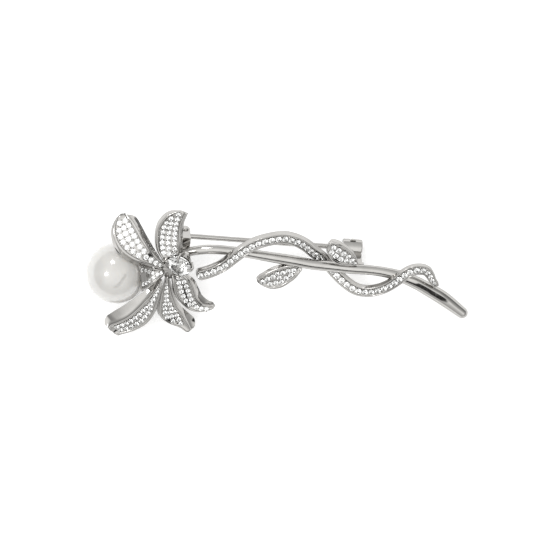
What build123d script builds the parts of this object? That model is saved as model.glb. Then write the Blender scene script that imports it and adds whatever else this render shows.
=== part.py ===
from build123d import *
import math
import os

os.makedirs("parts", exist_ok=True)

# Brooch with a flower, a pearl and a vine that winds round a stem, lying on its back.
# +Z is up, +X runs along the stem from the flower to its free end, lengths are in millimetres.
# Points of the front are written (x, y, lift): x and y seen from above, and lift, the height
# of the point in front of the face plane. That plane holds the axis of the stem, and it
# leans by LEAN about X because the brooch rests on its pearl, its catch and its lower petals.

# Driving dimensions
LEAN = 33.0                # tilt of the face plane, degrees
PEARL_RADIUS = 5.0
PEG_RADIUS = 0.5
PEG_DEPTH = 3.5            # of the drilled hole in the pearl
CUP_RADIUS = 1.9
CUP_WALL = 0.25
CENTRE_STONE_RADIUS = 2.0
BASKET_HEIGHT = 2.0
PRONG_RADIUS = 0.21
HUB_RADIUS = 1.9
HUB_BACK = -0.7
HUB_FRONT = 1.5
HUB_CHAMFER = 0.35
RIM_WIDTH = 0.5
RECESS = 0.34
VINE_WIDTH = 1.8
VINE_END_WIDTH = 0.9       # at the end that is soldered on the stem
VINE_DEPTH = 1.35
VINE_END_DEPTH = 0.95
VINE_RIM = 0.28
VINE_RECESS = 0.3
VINE_PITCH = 1.1
PIN_RADIUS = 0.42
PIN_TIP_RADIUS = 0.36
PIN_POINT_RADIUS = 0.08
RIVET_RADIUS = 0.36
RIVET_HEAD_RADIUS = 0.58
RIVET_HEAD_HEIGHT = 0.3
RUNNING_GAP = 0.04         # radial, in the hinge and in the catch
EAR_INSIDE = 0.82
EAR_OUTSIDE = 1.40
EAR_RADIUS = 0.78
KNUCKLE_RADIUS = 0.78
CATCH_RADIUS = 1.5
CATCH_BORE = 1.12
CATCH_LENGTH = 3.2
CATCH_SLOT = 1.0           # the pin drops through it
SLEEVE_BORE = 0.5
LOCK_ANGLE = 53.0          # travel of the lever
LEVER_REST_ANGLE = 93.0    # the lever when the catch is open
LEVER_WIDTH = 0.84
LEVER_THICKNESS = 0.36

# Round cut of the stones, as shares of the radius of the girdle
TABLE = 0.56
CROWN = 0.32
HALF_GIRDLE = 0.05
PAVILION = 0.86

# Setting of the small stones
STONE_GAP = 0.05
STONE_SINK = 0.08          # the girdle of a stone lies this far below the rim
SMALLEST_STONE = 0.22      # radius
LAST_STONE = 0.9          # along a petal, with its tip at 1

# Steps along the swept pieces
STEM_SECTIONS = 36
PETAL_SECTIONS = 15
VINE_SECTIONS = 61
MARCH_STEPS = 240          # fine steps that look for the next seat of a stone

COS_LEAN = math.cos(math.radians(LEAN))
SIN_LEAN = math.sin(math.radians(LEAN))
TAN_LEAN = SIN_LEAN / COS_LEAN
FACE_NORMAL = Vector(0, -SIN_LEAN, COS_LEAN)
FACE_UP = Vector(0, COS_LEAN, SIN_LEAN)
RIGHT = Vector(1, 0, 0)
UPWARD = (Align.CENTER, Align.CENTER, Align.MIN)


def place(x, y, lift):
    """Point seen at x, y from above, lifted off the face plane."""
    return Vector(x, y, y * TAN_LEAN + lift / COS_LEAN)


def blend(values, t):
    """Catmull-Rom value at t, from 0 at the first of the values to 1 at the last."""
    last = len(values) - 1
    along = min(max(t, 0.0), 1.0) * last
    i = min(int(along), last - 1)
    f = along - i
    b, c = values[i], values[i + 1]
    a = values[i - 1] if i > 0 else b * 2 - c
    d = values[i + 2] if i + 2 <= last else c * 2 - b
    return (b * 2 + (c - a) * f + (a * 2 - b * 5 + c * 4 - d) * f**2
            + (b * 3 - a - c * 3 + d) * f**3) * 0.5


def ruled_loft(outlines):
    faces = [Face(Wire.make_polygon(outline, close=True)) for outline in outlines]
    return loft(faces, ruled=True)


# ---------------------------------------------------------------- stones

def round_stone(centre, axis, radius):
    """Round cut stone: table, crown, thin girdle and pavilion. The centre is in the girdle."""
    table, crown = TABLE * radius, CROWN * radius
    girdle, pavilion = HALF_GIRDLE * radius, PAVILION * radius
    with BuildPart(Plane(origin=centre, z_dir=axis)) as stone:
        with BuildSketch(Plane(origin=centre, x_dir=Plane(origin=centre, z_dir=axis).x_dir,
                               z_dir=Plane(origin=centre, z_dir=axis).y_dir * -1)):
            with BuildLine():
                Polyline((0, crown), (table, crown), (radius, girdle), (radius, -girdle),
                         (0, -pavilion), (0, crown))
            make_face()
        revolve(axis=Axis(centre, axis))
    return stone.part.solid()


# ---------------------------------------------------------------- petals and leaves

class Petal:
    """Cup of metal with a raised rim and a sunken floor for stones.

    Each station holds the left and the right edge of the rim, as (x, y, height), and how far
    the outer wall flares on each side. Heights are above the middle of the stem. The first
    row of stones is at first_stone, with the root at 0 and the tip at 1. A petal with a bare
    middle has stones along its edges and at its tip only.
    """

    def __init__(self, stations, pitch, depth=1.1, first_stone=0.07, bare_middle=False):
        self.left = [Vector(*s[0]) for s in stations]
        self.right = [Vector(*s[1]) for s in stations]
        self.flare_left = [s[2] for s in stations]
        self.flare_right = [s[3] for s in stations]
        self.pitch = pitch
        self.depth = depth
        self.first_stone = first_stone
        self.bare_middle = bare_middle

    def frame(self, t):
        left, right = blend(self.left, t), blend(self.right, t)
        before = blend(self.left, t - 0.02) + blend(self.right, t - 0.02)
        after = blend(self.left, t + 0.02) + blend(self.right, t + 0.02)
        across = (right - left).normalized()
        normal = across.cross(after - before).normalized()
        if normal.Z < 0:
            normal = normal * -1
        return left, right, across, normal

    def rim_at(self, width):
        """The rim gets thinner where the petal is narrow."""
        return min(RIM_WIDTH, 0.2 * width)

    def outline(self, t):
        left, right, across, normal = self.frame(t)
        width = (right - left).length
        fade_at_ends = min(1.0, 8 * t + 0.1, 8 * (1 - t) + 0.1)
        recess = min(RECESS, 0.3 * width) * fade_at_ends
        depth = self.depth * min(1.0, 0.55 + 2.5 * (1 - t))
        step_in = across * self.rim_at(width)
        return [
            left - across * blend(self.flare_left, t) - normal * depth,
            right + across * blend(self.flare_right, t) - normal * depth,
            right,
            right - step_in,
            right - step_in * 1.3 - normal * recess,
            left + step_in * 1.3 - normal * recess,
            left + step_in,
            left,
        ]

    def solid(self):
        return ruled_loft([self.outline(i / (PETAL_SECTIONS - 1)) for i in range(PETAL_SECTIONS)])

    def seats(self):
        """Centres, axes and radii of the stones, row after row from the root to the tip."""
        found = []
        for i in range(MARCH_STEPS):
            t = self.first_stone + (LAST_STONE - self.first_stone) * i / MARCH_STEPS
            left, right, across, normal = self.frame(t)
            width = (right - left).length
            floor = width - 2.3 * self.rim_at(width)
            count = max(1, int(floor / self.pitch + 0.3))
            radius = min(self.pitch, floor / count) / 2 - STONE_GAP / 2
            if radius < SMALLEST_STONE:
                continue
            middle = (left + right) * 0.5 - normal * STONE_SINK
            columns = range(count)
            if self.bare_middle and t < 0.8:
                columns = sorted({0, count - 1})
            row = [middle + across * (((k + 0.5) / count - 0.5) * floor) for k in columns]
            if all((new - old).length > radius + old_radius + STONE_GAP
                   for new in row for old, old_axis, old_radius in found[-8:]):
                found += [(centre, normal, radius) for centre in row]
        return found


def stone_group(seats):
    return Compound(children=[round_stone(*seat) for seat in seats])


PETALS = {
    "petal_upper_left": Petal([
        ((-18.2, 0.6, 3.1), (-18.0, 1.4, 3.1), 0.1, 0.1),
        ((-20.2, 1.1, 4.0), (-19.0, 2.4, 3.8), 0.5, 0.4),
        ((-22.5, 1.9, 4.8), (-20.2, 3.8, 4.6), 0.7, 0.6),
        ((-24.8, 3.4, 5.3), (-21.4, 5.5, 5.2), 0.7, 0.7),
        ((-26.1, 5.3, 5.5), (-22.4, 7.3, 5.6), 0.5, 0.7),
        ((-26.4, 7.3, 5.6), (-23.3, 8.8, 5.7), 0.4, 0.7),
        ((-25.9, 9.0, 5.5), (-24.1, 9.6, 5.5), 0.3, 0.5),
        ((-25.0, 9.8, 5.2), (-24.6, 9.9, 5.2), 0.2, 0.3)], pitch=0.98),
    "petal_upper_right": Petal([
        ((-18.3, 1.9, 2.4), (-17.3, 1.9, 2.4), 0.1, 0.1),
        ((-19.3, 3.5, 2.6), (-15.6, 3.0, 2.7), 0.2, 0.1),
        ((-19.6, 5.1, 3.1), (-15.5, 4.7, 3.3), 0.2, 0.2),
        ((-19.4, 6.9, 3.8), (-15.4, 6.4, 4.0), 0.3, 0.2),
        ((-18.7, 8.3, 4.6), (-15.2, 7.9, 4.7), 0.4, 0.2),
        ((-17.6, 9.4, 5.2), (-14.8, 8.9, 5.3), 0.4, 0.2),
        ((-16.3, 9.9, 5.6), (-14.6, 9.5, 5.7), 0.3, 0.2),
        ((-15.3, 10.1, 5.8), (-14.8, 9.9, 5.8), 0.2, 0.2)], pitch=0.86, depth=0.95,
        first_stone=0.14),
    "petal_left": Petal([
        ((-18.4, 0.6, 2.3), (-18.4, -0.2, 2.3), 0.1, 0.1),
        ((-19.4, 0.8, 2.2), (-19.3, -1.1, 2.1), 0.2, 0.2),
        ((-20.4, 1.1, 2.4), (-20.1, -1.8, 2.2), 0.2, 0.2),
        ((-21.2, 1.4, 3.0), (-20.9, -2.4, 2.7), 0.2, 0.2),
        ((-21.9, 1.5, 3.5), (-21.5, -2.7, 3.2), 0.2, 0.2),
        ((-22.2, 1.3, 3.7), (-21.8, -2.6, 3.5), 0.1, 0.1)], pitch=0.72, depth=0.65,
        bare_middle=True),
    "petal_lower_left": Petal([
        ((-18.8, -1.0, 2.3), (-18.4, -1.2, 2.2), 0.2, 0.1),
        ((-19.7, -2.7, 2.0), (-18.8, -2.9, 1.6), 0.6, 0.2),
        ((-21.1, -4.3, 1.3), (-19.3, -4.9, 0.6), 1.1, 0.3),
        ((-22.5, -5.7, 0.5), (-19.9, -6.7, -0.5), 1.6, 0.3),
        ((-24.2, -7.1, -0.4), (-21.3, -8.4, -1.5), 1.9, 0.3),
        ((-25.8, -7.9, -1.2), (-23.4, -9.5, -2.4), 1.6, 0.3),
        ((-27.1, -8.4, -1.9), (-25.1, -10.0, -2.9), 1.2, 0.2),
        ((-27.6, -9.1, -2.2), (-26.1, -10.3, -3.1), 0.6, 0.2)], pitch=0.92),
    "petal_lower_middle": Petal([
        ((-17.9, -0.6, 2.3), (-17.6, -0.6, 2.3), 0.1, 0.1),
        ((-18.4, -2.2, 1.4), (-17.3, -2.2, 1.4), 0.1, 0.2),
        ((-18.9, -3.8, 0.4), (-16.9, -3.8, 0.4), 0.2, 0.2),
        ((-19.2, -5.5, -0.7), (-16.2, -5.5, -0.7), 0.3, 0.3),
        ((-19.0, -7.1, -1.7), (-15.4, -6.5, -1.5), 0.3, 0.5),
        ((-17.7, -8.2, -2.4), (-14.9, -7.4, -2.0), 0.3, 0.9),
        ((-15.9, -8.9, -2.8), (-14.4, -8.3, -2.5), 0.3, 1.1),
        ((-14.5, -9.8, -3.1), (-13.9, -9.4, -3.0), 0.2, 0.7)], pitch=0.82),
    "petal_lower_right": Petal([
        ((-17.1, -0.2, 2.4), (-15.5, 0.1, 2.5), 0.1, 0.2),
        ((-16.8, -1.7, 1.9), (-14.0, -1.2, 2.0), 0.2, 0.5),
        ((-16.5, -3.2, 1.1), (-13.3, -2.7, 1.2), 0.3, 0.6),
        ((-15.8, -4.6, 0.4), (-12.9, -4.0, 0.5), 0.3, 0.8),
        ((-14.5, -5.8, -0.2), (-12.1, -5.0, 0.0), 0.2, 1.0),
        ((-13.1, -6.3, -0.4), (-11.2, -5.3, -0.2), 0.2, 0.9),
        ((-11.4, -6.2, -0.4), (-10.5, -5.4, -0.3), 0.2, 0.5),
        ((-10.3, -5.8, -0.4), (-10.0, -5.5, -0.4), 0.2, 0.2)], pitch=0.84),
    "leaf_lower": Petal([
        ((4.4, 0.8, 1.2), (3.3, 1.5, 1.6), 0.1, 0.1),
        ((3.3, -0.7, 0.5), (1.9, 1.2, 1.75), 0.1, 0.1),
        ((2.2, -1.6, -0.1), (0.6, 0.9, 1.6), 0.1, 0.1),
        ((0.8, -2.4, -0.6), (-0.7, 0.5, 1.2), 0.1, 0.1),
        ((-0.9, -2.6, -0.8), (-2.0, -0.2, 0.7), 0.1, 0.1),
        ((-2.4, -2.0, -0.6), (-2.9, -0.7, 0.2), 0.1, 0.1),
        ((-3.2, -1.3, -0.2), (-3.3, -1.0, 0.0), 0.1, 0.1)], pitch=0.95, depth=1.0,
        first_stone=0.13),
    "leaf_upper": Petal([
        ((13.4, 1.5, 1.7), (12.9, 1.15, 1.5), 0.1, 0.1),
        ((12.7, 2.9, 2.9), (11.7, 1.2, 1.9), 0.1, 0.1),
        ((11.5, 4.0, 3.7), (10.1, 1.4, 2.2), 0.1, 0.1),
        ((10.2, 4.75, 4.3), (8.95, 2.1, 2.6), 0.1, 0.1),
        ((9.0, 5.1, 4.4), (8.3, 3.1, 3.2), 0.1, 0.1),
        ((8.3, 4.7, 4.1), (8.05, 3.8, 3.6), 0.1, 0.1)], pitch=0.98, depth=1.0),
}


# ---------------------------------------------------------------- stem

STEM = [  # x, y, lift, radius
    (-16.8, 2.8, -0.8, 0.62), (-13.2, 3.7, -0.2, 0.74), (-10.0, 3.9, 0.0, 0.77), (-5.9, 3.5, 0.0, 0.78),
    (-2.6, 2.95, 0.0, 0.81), (2.3, 2.15, 0.0, 0.88), (5.5, 1.55, 0.0, 0.88), (8.8, 1.15, 0.0, 0.85),
    (12.0, 0.8, 0.0, 0.82), (15.3, 0.55, 0.0, 0.81), (17.7, 0.2, 0.0, 0.85), (20.2, -0.45, 0.0, 0.95),
    (22.6, -1.4, 0.0, 1.07), (25.1, -2.75, 0.0, 1.14), (27.5, -4.2, 0.1, 1.15), (30.5, -6.45, 0.3, 0.92)]


def make_stem():
    path = [place(*point[:3]) for point in STEM]
    radii = [point[3] for point in STEM]
    steps = [i / (STEM_SECTIONS - 1) for i in range(STEM_SECTIONS)]
    end_direction = (path[-1] - path[-2]).normalized()
    rings = []
    for t in steps:
        direction = (blend(path, t + 0.01) - blend(path, t - 0.01)).normalized()
        if t in (0.0, 1.0):
            direction = (blend(path, min(t + 0.01, 1)) - blend(path, max(t - 0.01, 0))).normalized()
        rings.append((blend(path, t), direction, blend(radii, t)))
    for angle in (25, 50, 72):
        out = math.radians(angle)
        centre = path[-1] + end_direction * (radii[-1] * math.sin(out))
        rings.append((centre, end_direction, radii[-1] * math.cos(out)))
    faces = []
    for centre, direction, radius in rings:
        plane = Plane(origin=centre, x_dir=FACE_NORMAL.cross(direction), z_dir=direction)
        faces.append(plane * Circle(radius))
    return loft([face.face() for face in faces], ruled=True)


# ---------------------------------------------------------------- vine

VINE = [  # x, y, lift of the middle of the front face
    (-13.0, -0.6, 2.3), (-10.8, 0.0, 2.2), (-8.8, 0.9, 2.1), (-7.0, 2.2, 2.1), (-5.4, 3.4, 2.1),
    (-3.4, 4.5, 1.9), (-1.3, 5.15, 1.5), (1.1, 5.5, 1.1), (3.1, 5.1, 0.7), (4.7, 4.3, 0.2),
    (6.0, 3.3, -0.5), (7.2, 2.4, -1.1), (8.5, 1.2, -1.1), (9.7, -0.2, -0.5), (11.3, -1.7, 0.0),
    (13.0, -2.8, 0.4), (14.8, -3.15, 0.8), (16.6, -2.9, 1.2), (18.2, -2.25, 1.5), (19.6, -1.35, 1.8),
    (20.9, -0.35, 1.9), (22.1, 0.3, 1.9), (23.3, 0.45, 1.7), (24.4, 0.2, 1.4), (25.1, -0.6, 1.2),
    (25.6, -1.5, 1.1), (26.3, -2.3, 1.0)]


def vine_frame(t):
    path = [place(*point) for point in VINE]
    centre = blend(path, t)
    along = (blend(path, min(t + 0.005, 1)) - blend(path, max(t - 0.005, 0))).normalized()
    side = FACE_NORMAL.cross(along).normalized()
    return centre, along, side, along.cross(side).normalized()


def vine_width(t):
    """The vine narrows over its last stretch."""
    taper = max(0.0, (t - 0.86) / 0.14)
    return VINE_WIDTH + (VINE_END_WIDTH - VINE_WIDTH) * taper


def vine_depth(t):
    """Past its middle the vine gets flatter."""
    taper = min(max(0.0, (t - 0.45) / 0.25), 1.0)
    return VINE_DEPTH + (VINE_END_DEPTH - VINE_DEPTH) * taper


def vine_outline(t):
    centre, along, side, front = vine_frame(t)
    half = vine_width(t) / 2
    depth = vine_depth(t)
    inside = half - VINE_RIM
    foot_of_rim = half - VINE_RIM * 1.2
    fade_at_ends = min(1.0, 30 * t + 0.1, 30 * (1 - t) + 0.1)
    floor = front * (-VINE_RECESS * fade_at_ends)
    return [
        centre - side * half - front * depth,
        centre + side * half - front * depth,
        centre + side * half,
        centre + side * inside,
        centre + side * foot_of_rim + floor,
        centre - side * foot_of_rim + floor,
        centre - side * inside,
        centre - side * half,
    ]


def vine_seats():
    """One stone after another along the vine."""
    found = []
    for i in range(MARCH_STEPS * 8):
        t = 0.012 + 0.978 * i / (MARCH_STEPS * 8)
        centre, along, side, front = vine_frame(t)
        seat = centre - front * STONE_SINK
        radius = (VINE_PITCH * vine_width(t) / VINE_WIDTH - STONE_GAP) / 2
        if not found or (seat - found[-1][0]).length > radius + found[-1][2] + STONE_GAP:
            found.append((seat, front, radius))
    return found


# ---------------------------------------------------------------- flower centre and pearl

HUB_CENTRE = place(-17.0, 1.4, 0.0)
PEARL_CENTRE = Vector(-26.1, 0.1, -0.2)
STONE_AXIS = Vector(-0.35, -0.60, 0.72).normalized()
STONE_CENTRE = Vector(-15.7, 1.2, 4.7)


def make_hub():
    plane = Plane(origin=HUB_CENTRE + FACE_NORMAL * HUB_BACK, x_dir=RIGHT, z_dir=FACE_NORMAL)
    disc = Cylinder(HUB_RADIUS, HUB_FRONT - HUB_BACK, align=UPWARD)
    return plane * chamfer(disc.edges(), HUB_CHAMFER)


def make_pearl():
    ball = Sphere(PEARL_RADIUS, rotation=(0, 0, 180))
    return Pos(PEARL_CENTRE) * (ball - rod_x(PEG_RADIUS, PEARL_RADIUS - PEG_DEPTH, PEARL_RADIUS + 1))


def make_pearl_peg():
    start = PEARL_RADIUS - PEG_DEPTH + 0.1
    end = HUB_CENTRE.X - HUB_RADIUS + 0.4 - PEARL_CENTRE.X
    return Pos(PEARL_CENTRE) * rod_x(PEG_RADIUS, start, end)


def make_pearl_cup():
    """Shallow bowl that holds the pearl, with a neck that the peg runs through."""
    ball = Sphere(PEARL_RADIUS, rotation=(0, 0, 180))
    bowl = rod_x(CUP_RADIUS, PEARL_RADIUS * 0.9, PEARL_RADIUS + CUP_WALL) - ball
    neck = rod_x(CUP_RADIUS / 2, PEARL_RADIUS + 0.2, PEARL_RADIUS + 1.4)
    cup = bowl + neck - rod_x(PEG_RADIUS, 0, 2 * PEARL_RADIUS)
    return Pos(PEARL_CENTRE) * cup


def basket_plane(height):
    return Plane(origin=STONE_CENTRE + STONE_AXIS * height, z_dir=STONE_AXIS)


def make_basket():
    """Open collet: two rings joined by a tapered wall with windows, and a foot on the stem."""
    foot = -BASKET_HEIGHT - 0.9
    wall = Cone(1.25, CENTRE_STONE_RADIUS - 0.05, BASKET_HEIGHT - 0.45, align=UPWARD)
    hollow = Cone(0.85, CENTRE_STONE_RADIUS - 0.4, BASKET_HEIGHT - 0.8, align=UPWARD)
    outer = Pos(0, 0, -BASKET_HEIGHT) * wall
    inner = Pos(0, 0, -BASKET_HEIGHT + 0.35) * hollow
    stub = Pos(0, 0, foot) * Cylinder(0.8, -BASKET_HEIGHT - foot + 0.1, align=UPWARD)
    windows = [Rot(0, 0, 90 * k + 45) * Pos(1.5, 0, -1.25) * Cylinder(0.36, 1.6, rotation=(0, 90, 0))
               for k in range(4)]
    return basket_plane(0) * (outer + stub - inner - windows)


def make_prongs():
    """Four wires that stand outside the collet and bend over the edge of the stone."""
    reach = CENTRE_STONE_RADIUS + 0.16
    prongs = []
    for k in range(4):
        turn = Rot(0, 0, 90 * k)
        path = FilletPolyline((1.55, 0, -BASKET_HEIGHT + 0.5), (reach, 0, -0.35), (reach, 0, 0.45),
                              (reach - 0.62, 0, 0.66), radius=(0.4, 0.3))
        wire = sweep(Plane(origin=path @ 0, z_dir=path % 0) * Circle(PRONG_RADIUS), path=path)
        prongs.append(basket_plane(0) * turn * wire.solid())
    return Compound(children=[Pos(0, 0, 0) * prong for prong in prongs])


# ---------------------------------------------------------------- pin, hinge and catch

HINGE_CENTRE = place(-15.0, 6.15, -4.2)
CATCH_CENTRE = place(12.4, 4.15, -5.2)
PIN_DIRECTION = (CATCH_CENTRE - HINGE_CENTRE).normalized()
HINGE_AXIS = (FACE_UP - PIN_DIRECTION * FACE_UP.dot(PIN_DIRECTION)).normalized()
PIN_LENGTH = (CATCH_CENTRE - HINGE_CENTRE).length
# In both planes x runs along the pin, y points to the back of the brooch, z along the rivet.
HINGE_PLANE = Plane(origin=HINGE_CENTRE, x_dir=PIN_DIRECTION, z_dir=HINGE_AXIS)
CATCH_PLANE = Plane(origin=CATCH_CENTRE, x_dir=PIN_DIRECTION, z_dir=HINGE_AXIS)
PIN_SHOULDER = PIN_LENGTH - 2.1
PIN_END = PIN_LENGTH + 1.3


def rod_x(radius, start, end):
    return cone_x(radius, radius, start, end)


def cone_x(start_radius, end_radius, start, end):
    """Rod along x, or a cone if the two radii differ."""
    if start_radius == end_radius:
        rod = Cylinder(start_radius, end - start, rotation=(0, 90, 0), align=UPWARD)
    else:
        rod = Cone(start_radius, end_radius, end - start, rotation=(0, 90, 0), align=UPWARD)
    return Pos(start, 0, 0) * rod


def block(x, y, z):
    """Box from its low and high limits along each axis."""
    size = [high - low for low, high in (x, y, z)]
    middle = [(high + low) / 2 for low, high in (x, y, z)]
    return Pos(*middle) * Box(*size)


def make_hinge_base():
    """Two ears for the rivet on a pad, and a web from the pad to the back of the stem."""
    thickness = EAR_OUTSIDE - EAR_INSIDE
    leg = block((-EAR_RADIUS, EAR_RADIUS), (-2.4, 0), (-thickness / 2, thickness / 2))
    ear = Cylinder(EAR_RADIUS, thickness) + leg
    middle = (EAR_INSIDE + EAR_OUTSIDE) / 2
    pad = block((-1.2, 0.85), (-2.8, -2.2), (-1.55, 1.40))
    web = block((-1.2, 0.6), (-4.0, -2.7), (-1.55, -0.55))
    base = pad + web + Pos(0, 0, middle) * ear + Pos(0, 0, -middle) * ear
    return HINGE_PLANE * (base - Cylinder(RIVET_RADIUS, 6))


def make_rivet():
    head = Cylinder(RIVET_HEAD_RADIUS, RIVET_HEAD_HEIGHT)
    rivet = Cylinder(RIVET_RADIUS, 2 * EAR_OUTSIDE + 0.2)
    for side in (1, -1):
        rivet = rivet + Pos(0, 0, side * (EAR_OUTSIDE + RIVET_HEAD_HEIGHT / 2)) * head
    outer_edges = rivet.edges().filter_by(GeomType.CIRCLE).sort_by(Axis.Z)
    rivet = fillet([outer_edges[0], outer_edges[-1]], 0.2)
    return HINGE_PLANE * rivet


def make_knuckle():
    length = 2 * EAR_INSIDE - 2 * RUNNING_GAP
    barrel = Cylinder(KNUCKLE_RADIUS, length) - Cylinder(RIVET_RADIUS + RUNNING_GAP, 4)
    return HINGE_PLANE * barrel


def make_pin_wire():
    start = KNUCKLE_RADIUS - 0.2
    tip_start = PIN_SHOULDER + 0.3
    wire = rod_x(PIN_RADIUS, start, PIN_SHOULDER)
    neck = cone_x(PIN_RADIUS, PIN_TIP_RADIUS, PIN_SHOULDER, tip_start)
    tip = cone_x(PIN_TIP_RADIUS, PIN_POINT_RADIUS, tip_start, PIN_END)
    wire = wire + neck + tip - Cylinder(KNUCKLE_RADIUS, 4)
    return HINGE_PLANE * wire


def sector(radius, length, first, last):
    """Wedge about x between two angles, measured from the back towards the rivet axis."""
    corners = [(0, 0)]
    steps = 6
    for i in range(steps + 1):
        angle = math.radians(first + (last - first) * i / steps)
        corners.append((radius * math.cos(angle), radius * math.sin(angle)))
    return extrude(Plane.YZ * make_face(Polyline(*corners, close=True)), length / 2, both=True)


def make_catch_housing():
    """Tube with a slot for the pin, a window for the lever, and a post to the back of the stem."""
    half = CATCH_LENGTH / 2
    body = rod_x(CATCH_RADIUS, -half, half)
    body = fillet(body.edges().filter_by(GeomType.CIRCLE), 0.22)
    post = block((-half + 0.15, half - 0.1), (-4.7, -0.6), (-1.15, -0.1))
    foot = block((-half - 0.25, half + 0.1), (-4.75, -4.1), (-1.3, 0.05))
    body = body + post + foot
    body = body - rod_x(CATCH_BORE, -half - 1, half + 1)
    body = body - block((-half - 1, half + 1), (0, 3), (-CATCH_SLOT / 2, CATCH_SLOT / 2))
    window = sector(3, LEVER_WIDTH + 0.1, LEVER_REST_ANGLE - LOCK_ANGLE - 10.5, LEVER_REST_ANGLE + 11)
    body = body - window
    body = body - Pos(half + 0.38, 0, 0) * Cylinder(0.55, 8, rotation=(90, 0, 0))
    return CATCH_PLANE * body


def make_catch_rotor():
    """Sleeve inside the housing. Its slot is turned away from the slot of the housing to lock."""
    half = CATCH_LENGTH / 2 - 0.3
    slot = CATCH_SLOT / 2 - 0.025
    sleeve = rod_x(CATCH_BORE - RUNNING_GAP, -half, half) - rod_x(SLEEVE_BORE, -half - 1, half + 1)
    sleeve = sleeve - block((-half - 1, half + 1), (0, 2), (-slot, slot))
    return CATCH_PLANE * sleeve


def make_catch_lever():
    half = LEVER_WIDTH / 2
    tab = block((-half, half), (-LEVER_THICKNESS / 2, LEVER_THICKNESS / 2), (0.75, 1.78))
    tab = fillet(tab.edges().filter_by(Axis.Y).group_by(Axis.Z)[-1], 0.25)
    return CATCH_PLANE * (Rot(LEVER_REST_ANGLE - 90, 0, 0) * tab)


# ---------------------------------------------------------------- assembly

def build():
    nodes = {
        "stem": make_stem(),
        "vine": ruled_loft([vine_outline(i / (VINE_SECTIONS - 1)) for i in range(VINE_SECTIONS)]),
        "vine_stones": stone_group(vine_seats()),
        "flower_hub": make_hub(),
        "centre_basket": make_basket(),
        "centre_prongs": make_prongs(),
        "centre_stone": round_stone(STONE_CENTRE, STONE_AXIS, CENTRE_STONE_RADIUS),
        "pearl": make_pearl(),
        "pearl_cup": make_pearl_cup(),
        "pearl_peg": make_pearl_peg(),
        "hinge_base": make_hinge_base(),
        "hinge_rivet": make_rivet(),
        "pin_knuckle": make_knuckle(),
        "pin_wire": make_pin_wire(),
        "catch_housing": make_catch_housing(),
        "catch_rotor": make_catch_rotor(),
        "catch_lever": make_catch_lever(),
    }
    for name, petal in PETALS.items():
        nodes[name] = petal.solid()
        nodes[name + "_stones"] = stone_group(petal.seats())
    return nodes


NODES = build()
BOXES = [shape.bounding_box() for shape in NODES.values()]
LOW = [min(getattr(box.min, axis) for box in BOXES) for axis in "XYZ"]
HIGH = [max(getattr(box.max, axis) for box in BOXES) for axis in "XYZ"]
# The origin is in the middle of the footprint, on the surface that the brooch lies on.
SHIFT = Vector(-(LOW[0] + HIGH[0]) / 2, -(LOW[1] + HIGH[1]) / 2, -LOW[2])

for name, shape in NODES.items():
    solids = [Pos(SHIFT) * solid for solid in shape.solids()]
    export_step(solids[0] if len(solids) == 1 else Compound(children=solids), f"parts/{name}.step")
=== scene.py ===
import math

import bmesh
import bpy
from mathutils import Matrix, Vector


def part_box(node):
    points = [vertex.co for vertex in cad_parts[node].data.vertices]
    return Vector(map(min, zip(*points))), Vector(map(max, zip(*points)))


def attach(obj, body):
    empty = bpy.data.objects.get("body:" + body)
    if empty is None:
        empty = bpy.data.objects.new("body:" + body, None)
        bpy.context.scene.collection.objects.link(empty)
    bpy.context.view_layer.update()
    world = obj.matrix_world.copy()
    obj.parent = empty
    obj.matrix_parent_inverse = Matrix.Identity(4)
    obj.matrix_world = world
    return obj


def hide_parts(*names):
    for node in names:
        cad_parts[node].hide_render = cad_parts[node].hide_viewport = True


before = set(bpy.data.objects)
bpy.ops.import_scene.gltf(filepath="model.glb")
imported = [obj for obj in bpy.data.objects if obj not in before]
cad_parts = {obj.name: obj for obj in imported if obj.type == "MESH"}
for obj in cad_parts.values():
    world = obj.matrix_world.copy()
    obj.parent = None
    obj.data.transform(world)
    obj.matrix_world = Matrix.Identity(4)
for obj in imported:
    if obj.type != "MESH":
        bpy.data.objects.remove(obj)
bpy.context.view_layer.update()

# Looks of a brooch with a flower, a pearl and a vine that winds round a stem.
# The points below are in millimetres, in the plan in which the brooch was drawn. A point of the
# front is written (x, y, lift): x and y seen from above, and lift, its height in front of the
# face plane, which holds the axis of the stem and leans by LEAN about X.

# ---------------------------------------------------------------- sizes

MM = 0.001
LEAN = math.radians(33.0)
PEARL_CENTRE = Vector((-26.1, 0.1, -0.2))
PEARL_RADIUS = 5.0
PEG_RADIUS = 0.5
PEG_DEPTH = 3.5
HOLE_EDGE = 1.15          # the hole's rounded edge starts at this many hole radii
HOLE_SHOULDER = 0.985     # and ends this far from the middle, in pearl radii
CENTRE_STONE_RADIUS = 2.0
STONE_AXIS = Vector((-0.35, -0.60, 0.72)).normalized()
STONE_CENTRE = Vector((-15.7, 1.2, 4.7))

HUB_SPOT = (-17.0, 1.4, 0.0)
HUB_RADIUS = 1.9
HUB_BACK = -0.7
HUB_FRONT = 1.5
HUB_LOBES = 12
HUB_LOBE_DEPTH = 0.1
HUB_DOME = 0.3            # how far the front falls from its middle to its edge
HUB_ROLL = 0.9            # and how much further it falls past HUB_ROLL_START
HUB_ROLL_START = 0.8      # share of the way from the middle to the edge
HUB_CHAMFER = 0.3

RIM_WIDTH = 0.5
RIM_SHARE = 0.2           # of a narrow petal's width
RIM_HEIGHT = 0.13
FLOOR_DEPTH = 0.17
FLOOR_CORNER = 0.8        # share of the floor's depth at which its corner starts
CORNER_WIDTH = 0.04
TIP_DEPTH = 0.55          # share of a petal's depth that is left at its tip
TIP_SLOPE = 2.5           # how fast the depth comes back from there

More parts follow.
